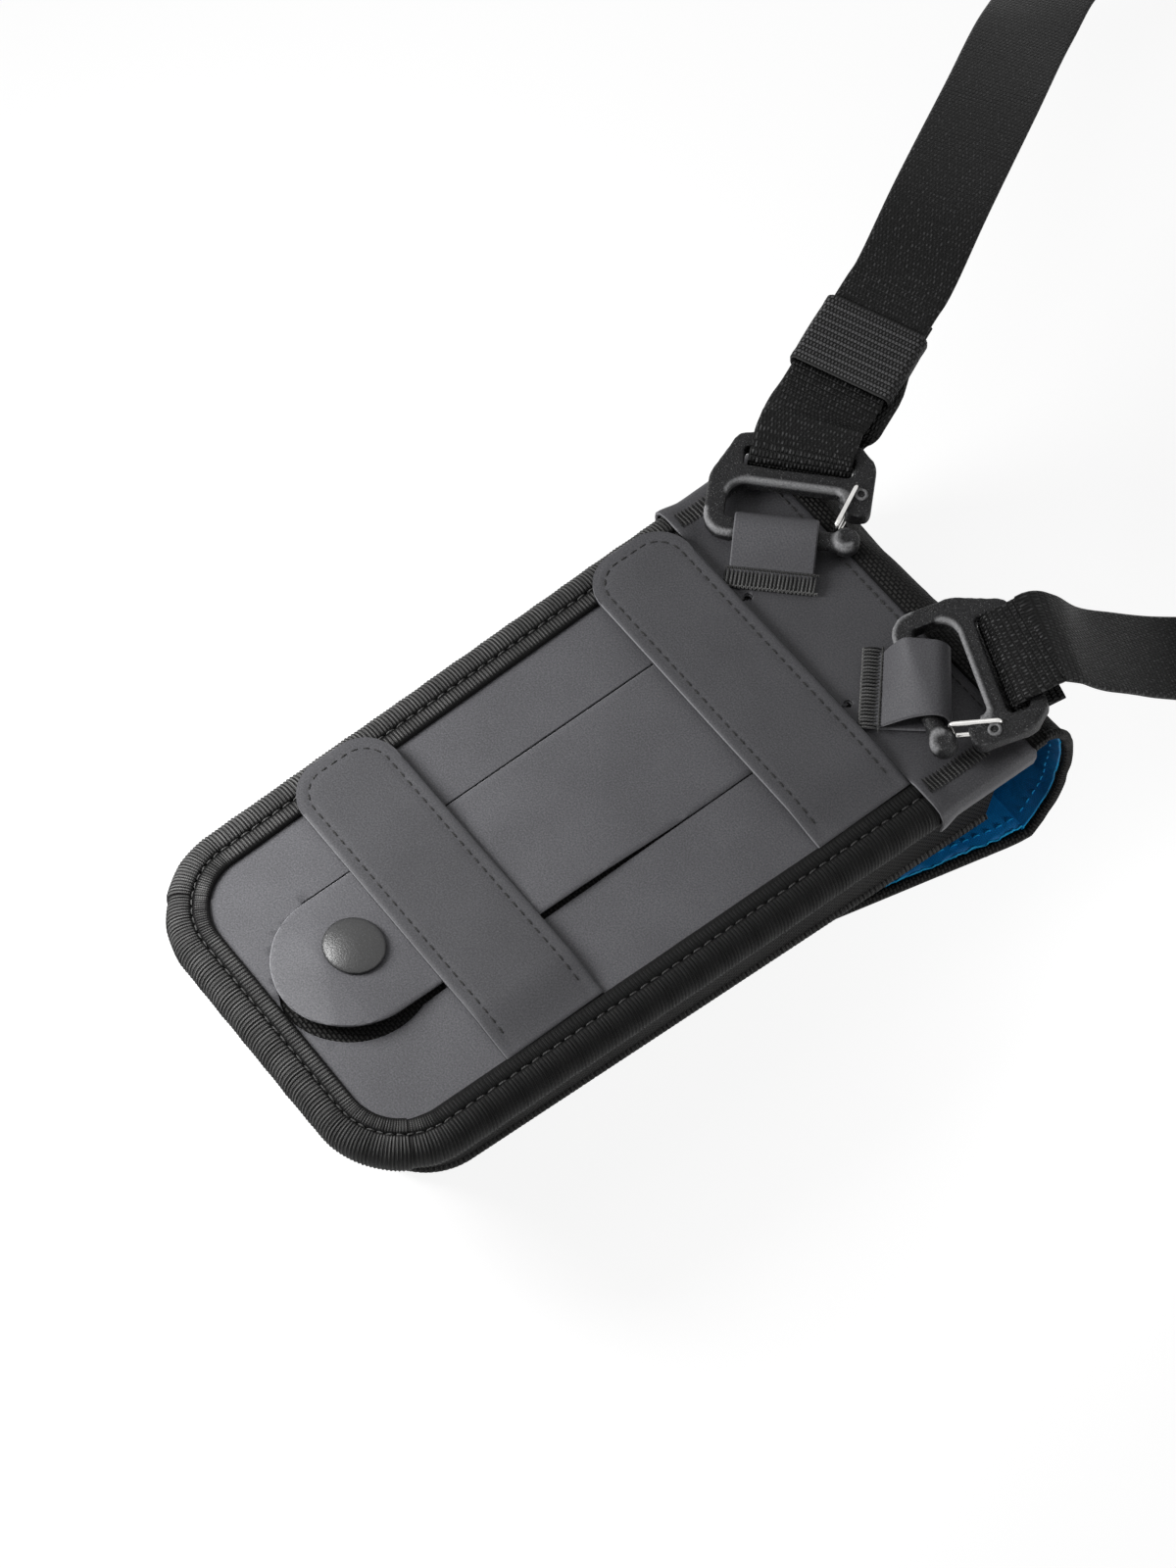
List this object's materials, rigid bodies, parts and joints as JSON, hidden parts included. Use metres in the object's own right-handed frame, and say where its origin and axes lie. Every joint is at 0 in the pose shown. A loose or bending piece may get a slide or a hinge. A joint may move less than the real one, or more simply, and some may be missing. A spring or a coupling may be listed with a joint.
{
  "type": "shoulder pouch",
  "caption": "Flat shoulder pouch in grey tarpaulin with a snapped belt tongue, two hook-and-loop bands, wire-gate hooks and a webbing strap.",
  "frame": {"origin": "on the surface that the front flap lies on, under the middle of the pouch's back", "axes": "+X across the pouch to its right seen from the back, +Y towards the top seam, +Z out of the back panel"},
  "size_m": [0.2109, 0.4167, 0.0709],
  "materials": {
    "tarpaulin": "matt coated tarpaulin with a fine grain",
    "binding": "ribbed grosgrain binding tape",
    "woven": "plain black woven polyester",
    "lining_blue": "smooth blue lining cloth",
    "thread": "dense black zigzag stitching",
    "tape": "black hook-and-loop tape",
    "foam": "closed-cell foam sheet",
    "hook_metal": "black coated cast metal, fine speckle",
    "wire_steel": "bright spring wire",
    "snap_black": "black speckled metal",
    "snap_steel": "plain pressed steel",
    "webbing": "black nylon webbing",
    "elastic": "ribbed elastic band",
    "tie": "soft black tie"
  },
  "bodies": {
    "root": {"back_panel": "tarpaulin", "yoke": "tarpaulin", "tongue_strap": "tarpaulin", "loop_left": "tarpaulin", "loop_right": "tarpaulin", "edge_binding": "binding", "mouth_binding": "binding", "top_seam_tape": "binding", "back_underlay": "woven", "gusset_left": "woven", "gusset_right": "woven", "gusset_bottom": "woven", "pocket_front": "woven", "back_lining": "lining_blue", "pocket_lining": "lining_blue", "yoke_bartacks": "thread", "loop_bartack_left": "thread", "loop_bartack_right": "thread", "band_loop_tape_lower": "tape", "band_loop_tape_upper": "tape", "pocket_loop_tape": "tape", "back_foam": "foam", "snap_stud": "snap_steel", "snap_rivet": "snap_steel", "strap_left_run": "webbing", "strap_left_tail": "webbing", "strap_right_run": "webbing", "strap_bundle": "webbing", "strap_bundle_tie": "tie"},
    "tongue_tip": {"tongue_tip": "tarpaulin", "snap_cap": "snap_black", "snap_socket": "snap_steel"},
    "band_lower": {"band_lower": "tarpaulin", "band_hook_tape_lower": "tape"},
    "band_upper": {"band_upper": "tarpaulin", "band_hook_tape_upper": "tape"},
    "flap_top": {"flap_top_outer": "woven", "flap_top_lining": "lining_blue"},
    "flap_front": {"flap_front_outer": "woven", "flap_front_lining": "lining_blue", "flap_hook_tape": "tape"},
    "hook_left": {"hook_left": "hook_metal", "strap_left_end": "webbing"},
    "hook_right": {"hook_right": "hook_metal", "strap_right_end": "webbing"},
    "gate_left": {"gate_left": "wire_steel"},
    "gate_right": {"gate_right": "wire_steel"},
    "strap_keeper": {"strap_keeper": "elastic"}
  },
  "joints": [
    {"name": "flap_top_lift", "type": "hinge", "parent": "root", "child": "flap_top", "pos_m": [0, 0.0935, 0.051], "axis": [1, 0, 0], "range_deg": [0, 55]},
    {"name": "flap_open", "type": "hinge", "parent": "flap_top", "child": "flap_front", "pos_m": [0, 0.094, 0.001], "axis": [1, 0, 0], "range_deg": [0, 110]},
    {"name": "band_lower_open", "type": "hinge", "parent": "root", "child": "band_lower", "pos_m": [0.03852, -0.045, 0.05315], "axis": [0, 1, 0], "range_deg": [0, 125]},
    {"name": "band_upper_open", "type": "hinge", "parent": "root", "child": "band_upper", "pos_m": [0.0406, 0.0457, 0.05315], "axis": [0, 1, 0], "range_deg": [0, 125]},
    {"name": "snap_tab_lift", "type": "hinge", "parent": "root", "child": "tongue_tip", "pos_m": [-0.0023, -0.0596, 0.05305], "axis": [-1, 0, 0], "range_deg": [0, 70]},
    {"name": "hook_left_swing", "type": "hinge", "parent": "root", "child": "hook_left", "pos_m": [-0.0265, 0.0788, 0.0574], "axis": [0.7314, 0.682, 0], "range_deg": [0, 35]},
    {"name": "hook_right_swing", "type": "hinge", "parent": "root", "child": "hook_right", "pos_m": [0.028, 0.0756, 0.0584], "axis": [0.9245, -0.3811, 0], "range_deg": [0, 35]},
    {"name": "gate_left_open", "type": "hinge", "parent": "hook_left", "child": "gate_left", "pos_m": [-0.02344, 0.09942, 0.05797], "axis": [-0.0297, 0.0319, -0.999], "range_deg": [0, 25], "stiffness_Nm_per_rad": 0.02, "springref_deg": -11.46},
    {"name": "gate_right_open", "type": "hinge", "parent": "hook_right", "child": "gate_right", "pos_m": [0.04789, 0.08108, 0.06143], "axis": [0.089, 0.2158, -0.9724], "range_deg": [0, 25], "stiffness_Nm_per_rad": 0.02, "springref_deg": -11.46},
    {"name": "keeper_slide", "type": "slide", "parent": "root", "child": "strap_keeper", "axis": [-0.3732, 0.9237, 0.0872], "range_m": [-0.005, 0.005]}
  ],
  "couplings": [
    {"joint": "flap_top_lift", "follows": "flap_open", "ratio": 0.5}
  ]
}
